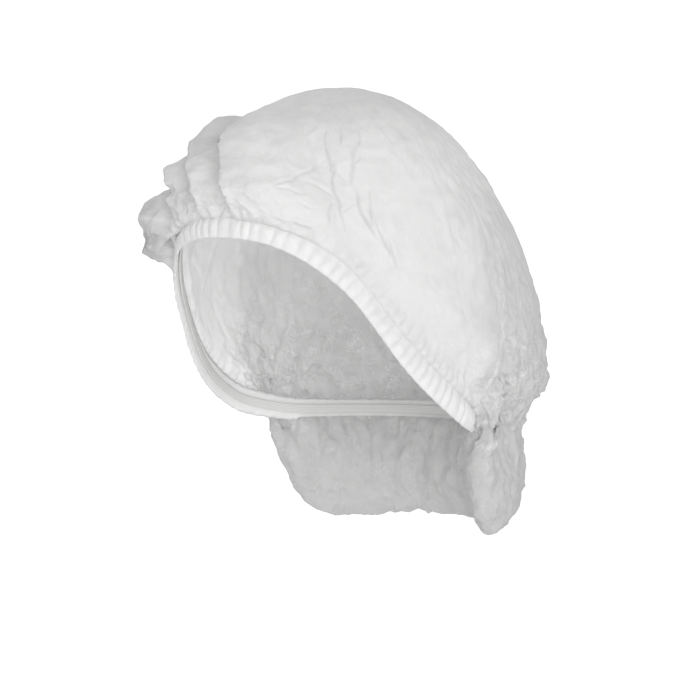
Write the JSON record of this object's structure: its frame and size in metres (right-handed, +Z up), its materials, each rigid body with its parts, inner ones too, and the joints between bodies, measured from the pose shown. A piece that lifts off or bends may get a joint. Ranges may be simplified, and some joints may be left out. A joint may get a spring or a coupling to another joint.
{
  "type": "disposable hair cap",
  "caption": "Pleated nonwoven hair cap in its worn form, with a fan of pleats at the forehead, a ruched elastic hem and a slack fold hanging at the nape.",
  "frame": {"origin": "inside of the crown's top, where the wearer's head carries the cap", "axes": "+Z up, -Y the way the wearer faces, +X the wearer's left"},
  "size_m": [0.1761, 0.217, 0.2337],
  "materials": {
    "nonwoven": "matt spunbond nonwoven, slightly translucent",
    "nonwoven_hem": "matt spunbond nonwoven, doubled and ruched",
    "elastic": "matt woven elastic"
  },
  "bodies": {
    "root": {"crown": "nonwoven", "hem_casing": "nonwoven_hem", "elastic": "elastic"}
  },
  "joints": []
}
